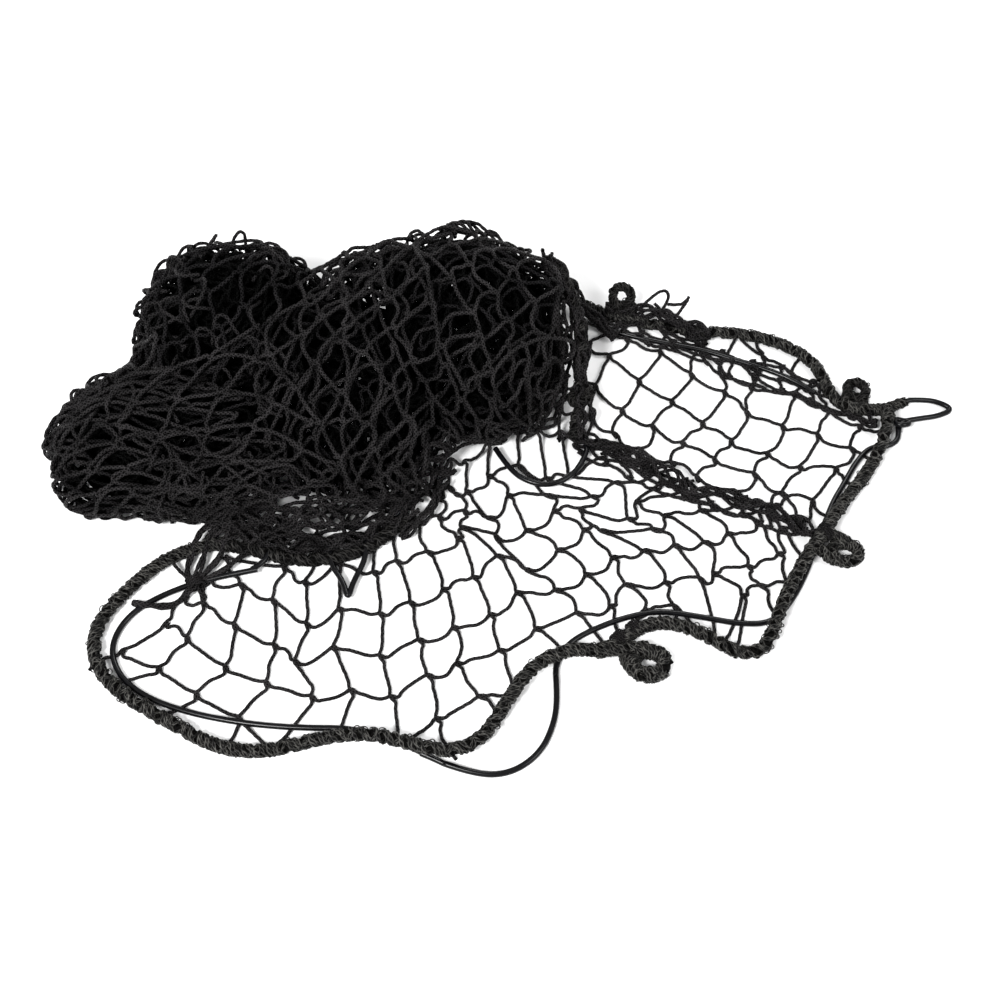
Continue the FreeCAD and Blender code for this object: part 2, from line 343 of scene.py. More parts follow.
class Tubes:
    """Collects swept strands and makes one mesh of them."""

    def __init__(self):
        self.points, self.faces, self.sizes, self.maps, self.slots = [], [], [], [], []
        self.count = 0

    def add(self, lines, radius, sides, ridges=3, pitch=0.009, relief=0.10, slot=0):
        """Strands with a lobed section that turns along them; ends are capped."""
        strands, rings, _ = lines.shape
        _, side, other = frames(lines)
        gaps = np.linalg.norm(np.diff(lines, axis=1), axis=2)
        along = np.concatenate([np.zeros((strands, 1)), np.cumsum(gaps, axis=1)], axis=1)
        angle = 2 * np.pi * np.arange(sides) / sides
        wave = np.cos(ridges * angle[None, None] + 2 * np.pi * along[..., None] / pitch)
        size = np.broadcast_to(np.asarray(radius, float), (strands, rings))
        reach = size[..., None] * (1 + relief * wave)
        shell = (lines[:, :, None] + reach[..., None] * (
            np.cos(angle)[None, None, :, None] * side[:, :, None]
            + np.sin(angle)[None, None, :, None] * other[:, :, None]))
        index = self.count + np.arange(strands * rings * sides).reshape(strands, rings, sides)
        after = np.roll(index, -1, axis=2)
        quads = np.stack([index[:, :-1], after[:, :-1], after[:, 1:], index[:, 1:]], axis=-1)
        turn = np.arange(sides + 1) / sides
        left, right, low, high = (np.broadcast_to(part, (strands, rings - 1, sides)) for part in (
            turn[:-1], turn[1:], along[:, :-1, None], along[:, 1:, None]))
        chart = np.stack([np.stack(corner, -1) for corner in (
            (left, low), (right, low), (right, high), (left, high))], axis=-2)
        self.points.append(shell.reshape(-1, 3))
        self.faces.append(quads.reshape(-1))
        self.sizes.append(np.full(quads.size // 4, 4))
        self.maps.append(chart.reshape(-1, 2))
        for ring, flip in ((0, -1), (rings - 1, 1)):
            caps = index[:, ring, ::flip]
            self.faces.append(caps.reshape(-1))
            self.sizes.append(np.full(strands, sides))
            self.maps.append(np.zeros((caps.size, 2)))
        self.slots.append(np.full(quads.size // 4 + 2 * strands, slot))
        self.count += strands * rings * sides

    def mesh(self, name, *materials):
        sizes = np.concatenate(self.sizes)
        starts = np.concatenate([[0], np.cumsum(sizes)[:-1]])
        data = bpy.data.meshes.new(name)
        data.vertices.add(self.count)
        data.loops.add(sum(map(len, self.faces)))
        data.polygons.add(len(sizes))
        for holder, field, values, kind in (
                (data.vertices, "co", np.concatenate(self.points), np.float32),
                (data.loops, "vertex_index", np.concatenate(self.faces), np.int32),
                (data.polygons, "loop_start", starts, np.int32),
                (data.polygons, "loop_total", sizes, np.int32),
                (data.polygons, "use_smooth", np.ones(len(sizes)), bool),
                (data.polygons, "material_index", np.concatenate(self.slots), np.int32)):
            holder.foreach_set(field, values.astype(kind).ravel())
        for material in materials:
            data.materials.append(material)
        chart = data.uv_layers.new(name="strand")
        chart.data.foreach_set("uv", np.concatenate(self.maps).astype(np.float32).ravel())
        data.update(calc_edges=True)
        data.validate()
        piece = bpy.data.objects.new(name, data)
        bpy.context.scene.collection.objects.link(piece)
        return piece


def single_tube(name, line, count, radius, sides, look, relief=0.10):
    """One tube along a line."""
    tubes = Tubes()
    tubes.add(even_line(line, count)[None], radius, sides, relief=relief)
    return tubes.mesh(name, look)


def put(piece, body, slot, *nodes):
    """The piece rides a body and stands for CAD nodes. slot is not used."""
    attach(piece, body)
    if nodes:
        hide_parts(*nodes)
    return piece


# ---- netting lattices
class Netting:
    """Lattices of twine bars. Every bar is STEPS lengths of twine, and keeps its length."""

    def __init__(self):
        self.points, self.home, self.grip, self.pitch, self.patches = [], [], [], [], {}
        self.total = 0

    def add(self, name, there, place, pinned=None, grip=0.0, slack=1.0, face=None, seed=0):
        """A lattice of joints, present where there is True. place maps joint numbers to points.

        Slack bars start bowed sideways, as seen along face. slack is the share of a bar's spare
        twine that bows; the rest is taken up in its joints.
        """
        random = np.random.default_rng(seed)
        pinned = np.zeros_like(there) if pinned is None else pinned
        wide, tall = there.shape
        grid = np.full(((wide - 1) * STEPS + 1, (tall - 1) * STEPS + 1), -1)
        grid[::STEPS, ::STEPS][there] = 0
        bars_u = there[:-1] & there[1:] & ~(pinned[:-1] & pinned[1:])
        bars_v = there[:, :-1] & there[:, 1:] & ~(pinned[:, :-1] & pinned[:, 1:])
        for step in range(1, STEPS):
            grid[step::STEPS, ::STEPS][bars_u] = 0
            grid[::STEPS, step::STEPS][bars_v] = 0
        used = grid == 0
        grid[used] = self.total + np.arange(used.sum())
        u, v = (axis / STEPS for axis in np.nonzero(used))
        start = place(u, v)
        low_u, low_v = np.floor(u), np.floor(v)
        far_u, far_v = np.minimum(np.ceil(u), wide - 1), np.minimum(np.ceil(v), tall - 1)
        chord = place(far_u, far_v) - place(low_u, low_v)
        span = np.linalg.norm(chord, axis=1)
        share = (u - low_u) + (v - low_v)
        length = span + slack * (BAR - span)
        self.pitch.append(np.where(span > 1e-6, length / STEPS, 0.0))
        # An arc whose sagitta is the bow is 8/3 bow^2 / span longer than its chord.
        bow = np.sqrt(np.maximum(0.375 * span * (length - span), 0)) * np.sin(np.pi * share)
        sign = random.choice([-1.0, 1.0], size=(wide, tall, 2))
        sign = sign[low_u.astype(int), low_v.astype(int), (v > low_v).astype(int)]
        outward = np.tile([0.0, 0.0, 1.0], (len(start), 1)) if face is None else face(start)
        start = start + unit(np.cross(outward, chord + 1e-9)) * (bow * sign)[:, None]
        self.points.append(start + random.normal(0, 0.0006, start.shape))
        self.home.append(start)
        joints = (u % 1 == 0) & (v % 1 == 0)
        fixed = joints & pinned[low_u.astype(int), low_v.astype(int)]
        self.grip.append(np.where(fixed, 1.0, np.where(joints, grip, 0.0)))
        self.patches[name] = {"grid": grid, "slice": slice(self.total, self.total + len(start)),
                              "strands": self.strands(grid)}
        self.total += len(start)

    @staticmethod
    def strands(grid):
        """Runs of points along rows (kind 0) and columns (kind 1), as index arrays."""
        found = ([], [])
        for kind, block in enumerate((grid.T[::STEPS], grid[::STEPS])):
            for line in block:
                present = np.concatenate([[False], line >= 0, [False]])
                edges = np.flatnonzero(np.diff(present.astype(int)))
                for begin, end in zip(edges[::2], edges[1::2]):
                    if end - begin > STEPS:
                        found[kind].append((line[begin:end], begin))
        return found


def batches(strands, reach, groups):
    """Index pairs that are reach apart along the strands, in groups that share no point."""
    result = []
    for group in range(groups):
        first = [line[group:-reach:groups] for line, _ in strands]
        second = [line[group + reach::groups][:len(a)] for (line, _), a in zip(strands, first)]
        result.append((np.concatenate(first), np.concatenate(second)))
    return result


def relax(net, settle, rounds, stiffness=0.3, straight=1.88):
    """Brings every length of twine to its real length while settle keeps points in place.

    Two lengths in a row may bend until their ends are straight lengths apart.
    """
    points, home = np.concatenate(net.points), np.concatenate(net.home)
    grip, pitch = np.concatenate(net.grip)[:, None], np.concatenate(net.pitch)[:, None]
    free = np.where(grip >= 1.0, 0.0, 1.0)
    links, bends = [], []
    for kind in (0, 1):
        strands = [line for patch in net.patches.values() for line in patch["strands"][kind]]
        for found, pairs in ((links, batches(strands, 1, 2)), (bends, batches(strands, 2, 4))):
            found += [(a, b, np.maximum(pitch[a], pitch[b])) for a, b in pairs]
    for _ in range(rounds):
        for a, b, seg in bends:
            gap = points[b] - points[a]
            far = np.linalg.norm(gap, axis=1, keepdims=True)
            short = np.maximum(straight * seg - far, 0.0) * stiffness
            move = gap / np.maximum(far, 1e-9) * short * 0.5
            points[a] -= move * free[a]
            points[b] += move * free[b]
        for a, b, seg in links:
            gap = points[b] - points[a]
            far = np.linalg.norm(gap, axis=1, keepdims=True)
            share = free[a] + free[b]
            move = gap * (1 - seg / np.maximum(far, 1e-9)) / np.maximum(share, 1.0)
            points[a] += move * free[a]
            points[b] -= move * free[b]
        points += (home - points) * grip
        settle(points)
    return points


def twine_paths(points, patch):
    """Paths of all strands in a patch. At a joint the two strands lie side by side."""
    grid = patch["grid"]
    joint_u, joint_v = np.nonzero(grid[::STEPS, ::STEPS] >= 0)
    own = grid[joint_u * STEPS, joint_v * STEPS]
    here = points[own]

    def beside(step_u, step_v):
        """The next point along one leg of each joint, from the joint, or 0 for no leg."""
        at_u = np.clip(joint_u * STEPS + step_u, 0, grid.shape[0] - 1)
        at_v = np.clip(joint_v * STEPS + step_v, 0, grid.shape[1] - 1)
        found = grid[at_u, at_v]
        return np.where(((found < 0) | (found == own))[:, None], 0.0, points[found] - here)

    left, right, down, up = beside(-1, 0), beside(1, 0), beside(0, -1), beside(0, 1)
    slant = unit(right + down - left - up + 1e-9)
    face = np.cross(right - left, up - down)
    flat = np.linalg.norm(face, axis=1, keepdims=True) < 1e-9
    aside = unit(np.cross(np.where(flat, [0.0, 0.0, 1.0], face), slant)) * TWINE * 0.85
    half = slant * KISS / 2
    number = {int(index): k for k, index in enumerate(own)}
    paths = []
    for kind, first, second in ((0, here - half + aside, here + half + aside),
                                (1, here + half - aside, here - half - aside)):
        for line, begin in patch["strands"][kind]:
            path = []
            for place, index in enumerate(line):
                if (begin + place) % STEPS == 0:
                    joint = number[int(index)]
                    path += [first[joint], second[joint]]
                else:
                    path.append(points[index])
            path = np.array(path)
            path[:, 2] = np.maximum(path[:, 2], TWINE * 1.1)
            paths.append(path)
    return paths


def sweep_all(tubes, paths, per_corner, radius, sides, slot=0):
    """Sweeps paths of many lengths, those of one length together."""
    for corners in sorted({len(path) for path in paths}):
        group = np.array([path for path in paths if len(path) == corners])
        tubes.add(b_spline(group, per_corner), radius, sides, slot=slot)


# ---- spread netting
# Rows of joints in millimetres, each after its first column's number. Pinned joints are
# those that the border holds, listed by row.
FRONT_ROWS = [
    (0, [(-404, -196), (-385, -212), (-334, -244), (-274, -277)]),
    (0, [(-381, -178), (-341, -196), (-301, -224), (-257, -248), (-222, -280), (-163, -266),
        (-104, -272), (-68, -247), (-26, -224), (5, -216), (54, -182), (98, -176), (110, -167),
        (136, -132), (166, -128), (205, -168), (237, -113), (256, -104), (283, -104), (303, -73),
        (317, -55)]),
    (0, [(-342, -148), (-318, -164), (-276, -196), (-234, -212), (-188, -225), (-151, -218),
        (-112, -225), (-77, -203), (-50, -190), (-7, -176), (28, -152), (70, -135), (103, -127),
        (121, -103), (160, -101), (195, -96), (209, -90), (246, -83), (279, -67), (285, -36),
        (303, -32)]),
    (0, [(-326, -118), (-306, -125), (-272, -150), (-230, -172), (-208, -189), (-172, -173),
        (-125, -183), (-87, -165), (-54, -151), (-17, -137), (10, -112), (49, -109), (80, -91),
        (108, -71), (141, -63), (172, -57), (205, -54), (229, -43), (261, -31), (272, -9),
        (290, 5)]),
    (1, [(-303, -98), (-270, -104), (-236, -122), (-200, -149), (-169, -131), (-127, -137),
        (-97, -125), (-65, -108), (-34, -95), (-9, -70), (21, -87), (53, -62), (80, -38), (99, -40),
        (152, -38), (165, -20), (204, -15), (243, -5)]),
    (2, [(-290, -72), (-228, -85), (-206, -101), (-173, -78), (-136, -89), (-113, -77),
        (-81, -66), (-51, -48), (-46, -36), (-12, -49), (21, -39), (49, -15), (75, -14), (128, -26),
        (135, -4), (186, 8)]),
    (3, [(-236, -60), (-200, -60), (-165, -52), (-134, -50), (-118, -38), (-94, -31),
        (-72, -24), (-45, -18), (-19, -24), (1, 4), (43, 3), (92, 2), (118, 20), (160, 30)]),
    (7, [(-110, -5), (-97, 2), (-73, 0), (-62, 12), (-43, 8), (-20, 28), (12, 40), (42, 24),
        (66, 29), (100, 52)]),
    (9, [(-78, 30), (-62, 42), (-46, 40), (-22, 64), (8, 82), (32, 80), (56, 78), (88, 66)]),
]
FRONT_PINNED = {0: (0, 1, 2, 3), 1: (4, 5, 6, 9, 10, 11, 12, 15, 18, 19, 20)}
FRONT_MORE = {(7, 0): (-52, -283), (8, 0): (-16, -252), (13, 0): (128, -152),
              (14, 0): (176, -153), (16, 0): (222, -180), (17, 0): (268, -135)}
REAR_ROWS = [
    (1, [(91, 105), (116, 82), (142, 62), (176, 45), (201, 25), (240, 8), (272, -9),
        (303, -30)]),
    (0, [(76, 150), (97, 146), (125, 113), (158, 92), (189, 70), (222, 47), (263, 29), (290, 5),
        (319, -6), (340, -22)]),
    (0, [(92, 209), (114, 190), (146, 153), (181, 125), (212, 95), (241, 71), (279, 56),
        (312, 38), (350, 36), (368, 18)]),
    (0, [(124, 232), (136, 215), (173, 196), (206, 163), (241, 138), (263, 110), (300, 91),
        (337, 80), (372, 62), (396, 54)]),
    (1, [(142, 240), (186, 229), (214, 203), (238, 172), (271, 145), (318, 136), (352, 116),
        (384, 92), (412, 92)]),
    (3, [(232, 222), (262, 221), (290, 188), (320, 163), (346, 146), (382, 110)]),
    (5, [(286, 214), (334, 190), (352, 160)]),
]
REAR_PINNED = {1: (0, 9), 2: (9,), 3: (0, 9), 4: (1, 2, 9), 5: (3, 4, 7, 8), 6: (5, 6, 7)}

# Squeezed strips of netting: line along one edge, line along the other, columns and rows.
STRIPS = {
    "far_strip": ([(112, 238, 12), (168, 226, 9), (236, 200, 6), (300, 172, 6), (348, 142, 7),
        (392, 104, 12)], [(128, 222, 5), (186, 196, 5), (240, 170, 5), (300, 140, 5), (350, 116, 5),
        (398, 84, 10)], 10, 4),
    "fold_strip": ([(78, 84, 9), (112, 66, 8), (150, 44, 8), (196, 14, 8), (240, 0, 8),
        (300, -28, 9)], [(74, 62, 4), (104, 42, 4), (140, 18, 4), (184, -8, 4), (232, -22, 4),
        (304, -50, 8)], 9, 3),
    "heap_side_strip": ([(40, 250, 120), (52, 214, 108), (58, 172, 88), (58, 132, 62),
        (54, 92, 34), (58, 70, 8)], [(62, 262, 60), (70, 222, 84), (82, 186, 66), (86, 150, 44),
        (88, 112, 24), (86, 78, 8)], 8, 3),
}
REST_HEIGHT = 0.0024         # of a joint that lies on the floor
BORDER_LIFT = 0.004          # how much higher the border holds its joints
SPREAD_GRIP, SPREAD_SLACK = 0.30, 0.22
STRIP_GRIP, STRIP_SLACK, STRIP_JITTER = 0.5, 0.10, 0.004
SINK = 0.0002                # how far loose twine falls in each round


def lattice_table(rows, more):
    """Joint positions and where there is a joint, from rows of points."""
    shape = max(first + len(points) for first, points in rows), len(rows)
    spots, there = np.zeros((*shape, 3)), np.zeros(shape, bool)
    joints = {(column, row): spot for row, (first, points) in enumerate(rows)
              for column, spot in enumerate(points, start=first)}
    for joint, (x, y) in {**joints, **more}.items():
        spots[joint] = (x * MM, y * MM, REST_HEIGHT)
        there[joint] = True
    return spots, there


def between(spots):
    """Place function that reads joint positions and goes straight between them."""
    def place(u, v):
        low_u, low_v = np.floor(u).astype(int), np.floor(v).astype(int)
        far_u = np.minimum(low_u + 1, spots.shape[0] - 1)
        far_v = np.minimum(low_v + 1, spots.shape[1] - 1)
        share_u, share_v = (u - low_u)[:, None], (v - low_v)[:, None]
        here = spots[low_u, low_v]
        return (here + (spots[far_u, low_v] - here) * share_u
                + (spots[low_u, far_v] - here) * share_v)
    return place


def strip(near_side, far_side, wide, tall, seed):
    """Place function for a strip between two lines, with its joints a little out of line."""
    edges = [even_line(np.array(side, float) * MM, wide) for side in (near_side, far_side)]
    share = np.linspace(0, 1, tall)[None, :, None]
    spots = edges[0][:, None] * (1 - share) + edges[1][:, None] * share
    random = np.random.default_rng(seed)
    spots = spots + random.normal(0, STRIP_JITTER, spots.shape) * np.array([1.0, 1.0, 0.4])
    spots[..., 2] = np.maximum(spots[..., 2], TWINE)
    return between(spots)


def make_spread():
    net = Netting()
    for name, rows, more, pins, seed in (("front", FRONT_ROWS, FRONT_MORE, FRONT_PINNED, 31),
                                         ("rear", REAR_ROWS, {}, REAR_PINNED, 47)):
        spots, there = lattice_table(rows, more)
        pinned = np.zeros_like(there)
        for row, columns in pins.items():
            pinned[list(columns), row] = True
        spots[..., 2] += BORDER_LIFT * pinned
        for joint in more:
            pinned[joint] = True
        if name == "front":
            spots[9:17, 8, 2] = 0.016          # its last row lies on the fold
        net.add(name, there, between(spots), pinned, SPREAD_GRIP, SPREAD_SLACK, seed=seed)
    for seed, (name, (near_side, far_side, wide, tall)) in enumerate(STRIPS.items(), start=60):
        net.add(name, np.ones((wide, tall), bool), strip(near_side, far_side, wide, tall, seed),
                None, STRIP_GRIP, STRIP_SLACK, seed=seed)

    def settle(points):
        points[:, 2] = np.maximum(points[:, 2] - SINK, TWINE)

    return relax(net, settle, 160), net.patches


SPREAD_POINTS, SPREAD_PATCHES = make_spread()
for patch_name, patch in SPREAD_PATCHES.items():
    netting = Tubes()
    sweep_all(netting, twine_paths(SPREAD_POINTS, patch), 6, TWINE * 0.95, 8)
    nodes = [f"{patch_name}_panel"] if patch_name in ("front", "rear") else []
    put(netting.mesh(f"{patch_name}_netting", TWINE_LOOK), "root", "netting_twine", *nodes)


# ---- gathered heap
def shell_offset(points, centre, halves):
    """Rough signed distance to an ellipsoid, and the outward direction."""
    scaled = (points - centre) / halves
    radius = np.linalg.norm(scaled, axis=1, keepdims=True)
    slope = scaled / halves
    steep = np.maximum(np.linalg.norm(slope, axis=1, keepdims=True), 1e-9)
    return (radius - 1) * radius / steep, slope / steep


def wrinkles(points, seed, size, wave, count=5):
    """Smooth unevenness: a few crossing waves in random directions."""
    random = np.random.default_rng(seed)
    total = np.zeros(len(points))
    for _ in range(count):
        direction = unit(random.normal(0, 1, 3))
        length = wave * random.uniform(0.6, 1.6)
        total += np.sin(points @ direction * 2 * np.pi / length + random.uniform(0, 2 * np.pi))
    return total[:, None] / math.sqrt(count) * size


# Rounded masses that the draped layers follow, beside the lobes themselves.
MASSES = {
    **LOBES,
    "crest": ((-78, 196, 120), (62, 48, 52)),
    "shoulder": ((6, 196, 107), (58, 56, 48)),
    "left_rim": ((-395, 30, 20), (72, 62, 50)),
    "saddle": ((-135, 202, 88), (72, 58, 50)),
}
COVERS = {"cover_right": ((-112, 140, 34), (170, 142, 122)),
          "cover_left": ((-268, 92, 28), (168, 128, 86))}
# Layers from the outside in: depth in millimetres, heading, opening and looseness.
OUTER = {
    "heap_left": [(0, 2, 19, 0.95), (7, -10, 24, 0.90), (13, 14, 30, 0.82), (19, 80, 40, 0.72)],
    "heap_rear_left": [(1, 60, 32, 0.92), (9, 110, 30, 0.84), (16, 20, 42, 0.74)],
    "heap_middle": [(7, 75, 30, 0.90), (15, 100, 34, 0.80), (20, 30, 42, 0.70)],
    "heap_right": [(7, 78, 38, 0.92), (14, 20, 34, 0.84), (20, 120, 42, 0.74)],
    "front_tangle": [(1, 4, 22, 0.88), (10, -12, 28, 0.80)],
    "right_tangle": [(4, -20, 26, 0.84), (16, 60, 34, 0.70)],
    "saddle": [(2, 40, 34, 0.90), (9, 100, 38, 0.84), (16, 10, 42, 0.70)],
    "cover_right": [(-5, 76, 36, 0.95)],
    "cover_left": [(-4, 20, 30, 0.94)],
}
INNER_DEPTHS, INNER_OPENING, INNER_LOOSENESS = (22, 28, 35, 44), 42, 0.60
SOLID = [name for name in LOBES if "tangle" not in name]
BASE_LAYERS, BASE_LOOSENESS, BASE_SPAN, BASE_INSET = 3, 0.46, 0.62, 0.024
RIM_SHARE = 1.1              # how far past the rim a draped layer still has joints
COVER_REACH = 0.024          # how far from the heap a cover still has joints
SWIRL, SWIRL_WAVE = 0.012, 0.17              # sideways waves of a layer's bars
CREASE, CREASE_WAVE = 0.0085, 0.12           # wrinkles that all layers share
RUMPLE, RUMPLE_WAVE = 0.003, 0.05            # wrinkles of each layer's own
SWEEPS = ((4, 1.1, 7), (3, 1.0, 6), (1, 1.0, 5))   # outer, fine, inner: rings, thickness, sides


def mass_of(name):
    centre, halves = {**MASSES, **COVERS}[name]
    return np.array(centre) * MM, np.array(halves) * MM


def heap_offset(points, blend=0.006):
    """Rough signed distance to all masses run together, and the outward direction."""
    total, outward = 0.0, 0.0
    found = [shell_offset(points, *mass_of(name)) for name in MASSES if name != "right_tangle"]
    least = np.min([offset for offset, _ in found], axis=0)
    for offset, away in found:
        weight = np.exp((least - offset) / blend)
        total = total + weight
        outward = outward + weight * away
    return least - blend * np.log(total), unit(outward)


def bar_step(degrees, looseness):
    """Step from joint to joint in the plane, along a heading."""
    turn = math.radians(degrees)
    return BAR * looseness * np.array([math.cos(turn), math.sin(turn)])


def joint_numbers(count):
    """Column and row numbers of a square lattice, as two flat arrays."""
    numbers = np.arange(count, dtype=float)
    return np.repeat(numbers, count), np.tile(numbers, count)


def drape(net, name, mass, depth, heading, opening, looseness, seed, cut, slack):
    """Netting over a mass from floor to floor, tucked under at the rim.

    Its bars run at the opening angle either side of the heading, in degrees. looseness is the
    distance between joints as a share of a bar. Joints deeper than cut in another lobe are left
    out.
    """
    centre, halves = mass_of(mass)
    inner = halves - depth
    rim = math.acos(max(-0.95, -centre[2] / inner[2]))
    reach = inner[2] * rim / (math.pi / 2)
    arcs = [rim * math.sqrt((inner[axis] ** 2 + reach ** 2) / 2) for axis in (0, 1)]
    random = np.random.default_rng(seed)
    shift = random.uniform(-0.5, 0.5, 2) * BAR
    swirl = random.uniform(0, 2 * np.pi, 2)
    step_u, step_v = (bar_step(heading + way * opening, looseness) for way in (1, -1))
    narrow = min(1.0, 2 * math.sin(math.radians(opening)))
    count = int(2.6 * max(arcs) / (BAR * looseness * narrow)) + 2
    middle = count / 2

    def flat(u, v):
        return (u - middle)[:, None] * step_u + (v - middle)[:, None] * step_v + shift

    def place(u, v):
        plane = flat(u, v)
        plane = plane + SWIRL * np.sin(plane[:, ::-1] * 2 * np.pi / SWIRL_WAVE + swirl)
        share = plane / arcs
        far = np.linalg.norm(share, axis=1)
        toward = share / np.maximum(far, 1e-9)[:, None]
        polar = far * rim
        spot = centre + inner * np.stack([
            np.sin(polar) * toward[:, 0], np.sin(polar) * toward[:, 1], np.cos(polar)], axis=1)
        spot[:, 2] = np.maximum(spot[:, 2], TWINE)
        return spot

    numbers = joint_numbers(count)
    there = np.linalg.norm(flat(*numbers) / arcs, axis=1) < RIM_SHARE
    joints = place(*numbers)
    if mass in COVERS:
        there &= np.abs(heap_offset(joints)[0][:, 0]) < COVER_REACH
    for other in LOBES:
        if other != mass:
            there &= shell_offset(joints, *mass_of(other))[0][:, 0] > -cut
    net.add(name, there.reshape(count, count), place, None, 0.0, slack,
            lambda spots: shell_offset(spots, centre, inner)[1], seed)


def lay_base(net, name, heading, seed):
    """Crumpled netting flat on the floor, everywhere beneath the heap."""
    random = np.random.default_rng(seed)
    step_u, step_v = bar_step(heading, BASE_LOOSENESS), bar_step(heading + 90, BASE_LOOSENESS)
    count = int(BASE_SPAN / (BAR * BASE_LOOSENESS))
    middle = np.array([-0.190, 0.130]) + random.uniform(-0.01, 0.01, 2)

    def place(u, v):
        plane = (u - count / 2)[:, None] * step_u + (v - count / 2)[:, None] * step_v + middle
        return np.concatenate([plane, np.full((len(plane), 1), TWINE)], axis=1)

    joints = place(*joint_numbers(count))
    there = heap_offset(joints + [0.0, 0.0, 0.012])[0][:, 0] < -BASE_INSET
    there &= shell_offset(joints, *mass_of("front_tangle"))[0][:, 0] > 0
    net.add(name, there.reshape(count, count), place, None, 0.0, 0.5, None, seed)


def make_heap():
    net = Netting()
    layers = []
    for mass, sheets in OUTER.items():
        inner = [(depth, 37 * n + len(mass) * 11, INNER_OPENING, INNER_LOOSENESS)
                 for n, depth in enumerate(INNER_DEPTHS)
                 if mass in SOLID and sheets[-1][0] + 4 < depth < LOBES[mass][1][2] - 14]
        for number, (depth, heading, opening, looseness) in enumerate(sheets + inner):
            name, seed, fine = f"{mass}_{number}", 50 * len(layers) + 3, number < len(sheets)
            cut = 0.016 if fine else 0.034 if depth < 34 else 0.090
            drape(net, name, mass, depth * MM, heading, opening, looseness, seed, cut,
                  0.30 if number < 2 else 0.6)
            layers.append((name, mass, depth * MM, seed, fine, number))
    for number in range(BASE_LAYERS):
        lay_base(net, f"base_{number}", 25 + 31 * number, 400 + number)

    def settle(points):
        for number in range(BASE_LAYERS):
            part = net.patches[f"base_{number}"]["slice"]
            points[part, 2] += (2 * TWINE * number + TWINE - points[part, 2]) * 0.5
        for name, mass, depth, seed, fine, number in layers:
            part = net.patches[name]["slice"]
            own = points[part]
            offset, outward = heap_offset(own) if fine else shell_offset(own, *mass_of(mass))
            level = (wrinkles(own, 11, CREASE, CREASE_WAVE)
                     + wrinkles(own, seed, RUMPLE, RUMPLE_WAVE) - depth)
            band = 0.006 if number == 0 else 0.003
            push = np.clip(offset, level - band, level + band) - offset
            push[own[:, 2] < 0.010] *= 0.1         # near the floor the netting spreads freely
            own = own + outward * push * 0.5
            own[:, 2] = np.maximum(own[:, 2], TWINE)
            points[part] = own

    return relax(net, settle, 110), net.patches, layers


HEAP_POINTS, HEAP_PATCHES, LAYERS = make_heap()
HEAP_LIT_AND_SHADED_LOOKS = (TWINE_LOOK, PAINTED_SHADE_LOOK, PAINTED_DEEP_SHADE_LOOK)     # lit twine outside, then painted shade and painted deep shade for the layers deeper in the heap
base = Tubes()
for layer in range(BASE_LAYERS):
    sweep_all(base, twine_paths(HEAP_POINTS, HEAP_PATCHES[f"base_{layer}"]), 1, TWINE, 5)
# The netting beneath the heap takes the painted deep shade.
put(base.mesh("heap_base_netting", PAINTED_DEEP_SHADE_LOOK), "root", "netting_twine")
for mass_name in OUTER:
    netting = Tubes()
    # The outermost layer takes the lit twine, the next the painted shade and deeper ones the
    # painted deep shade.
    for layer_name, own_mass, _, _, is_fine, order in LAYERS:
        if own_mass == mass_name:
            corners, thick, sides = SWEEPS[0 if order == 0 else 1 if is_fine else 2]
            sweep_all(netting, twine_paths(HEAP_POINTS, HEAP_PATCHES[layer_name]),
                      corners, TWINE * thick, sides, min(order, 2))
    nodes = [mass_name] if mass_name in LOBES else []
    # The rear left dome is painted one step darker: painted shade outside and painted deep shade
    # within.
    looks = HEAP_LIT_AND_SHADED_LOOKS[1:] + HEAP_LIT_AND_SHADED_LOOKS[-1:] if mass_name == "heap_rear_left" else HEAP_LIT_AND_SHADED_LOOKS
    put(netting.mesh(f"{mass_name}_netting", *looks), "root", "netting_twine", *nodes)


# ---- loose loops of the heap
def loose_loops(count, seed):
    """Slack bars that stand out of the heap: arcs from surface to surface."""
    random = np.random.default_rng(seed)
    spots = []
    for _ in range(count):
        centre, halves = mass_of(SOLID[random.integers(len(SOLID))])
        around, up = random.uniform(0, 2 * np.pi), random.uniform(-0.1, 1.0) ** 2
        level = math.sqrt(1 - up ** 2)
        spots.append(centre + halves * (math.cos(around) * level, math.sin(around) * level, up))
    spots = np.array(spots)
    offset, outward = heap_offset(spots)
    keep = (offset[:, 0] > -0.004) & (spots[:, 2] > 0.004)
    keep &= (spots[:, 0] < -0.24) | (spots[:, 1] > 0.25) | (spots[:, 2] < 0.045)
    spots, outward = spots[keep] - outward[keep] * 0.004, outward[keep]
    across = unit(np.cross(outward, unit(random.normal(0, 1, spots.shape))))
    wide = random.uniform(0.007, 0.019, len(spots))[:, None]
    tall = random.uniform(0.003, 0.013, len(spots))[:, None]
    skew = unit(np.cross(outward, across)) * random.uniform(-0.016, 0.016, len(spots))[:, None]
    arc = [(-1.5, -0.8), (-1.1, -0.1), (-0.9, 0.6), (-0.3, 1.0), (0.5, 0.8), (0.8, 0.3),
           (1.2, -0.2), (1.55, -0.9)]
    paths = np.stack([spots + across * wide * a + outward * tall * h + skew * h for a, h in arc],
                     axis=1)
    paths[..., 2] = np.maximum(paths[..., 2], TWINE)
    tubes = Tubes()
    tubes.add(b_spline(paths, 5), TWINE, 7)
    return tubes.mesh("heap_loops", TWINE_LOOK)


HEAP_LOOPS = put(loose_loops(900, 77), "root", "netting_twine")


# ---- border rope
YARNS = ((1.0, 5, 0.31), (-1.0, 2, 0.24))    # hand, how many, radius as a share of the rope's
YARN_PITCH = 0.0230          # of a yarn's turn round the core
LOOP_GAP = 0.0046            # length of rope for each small loop of yarn


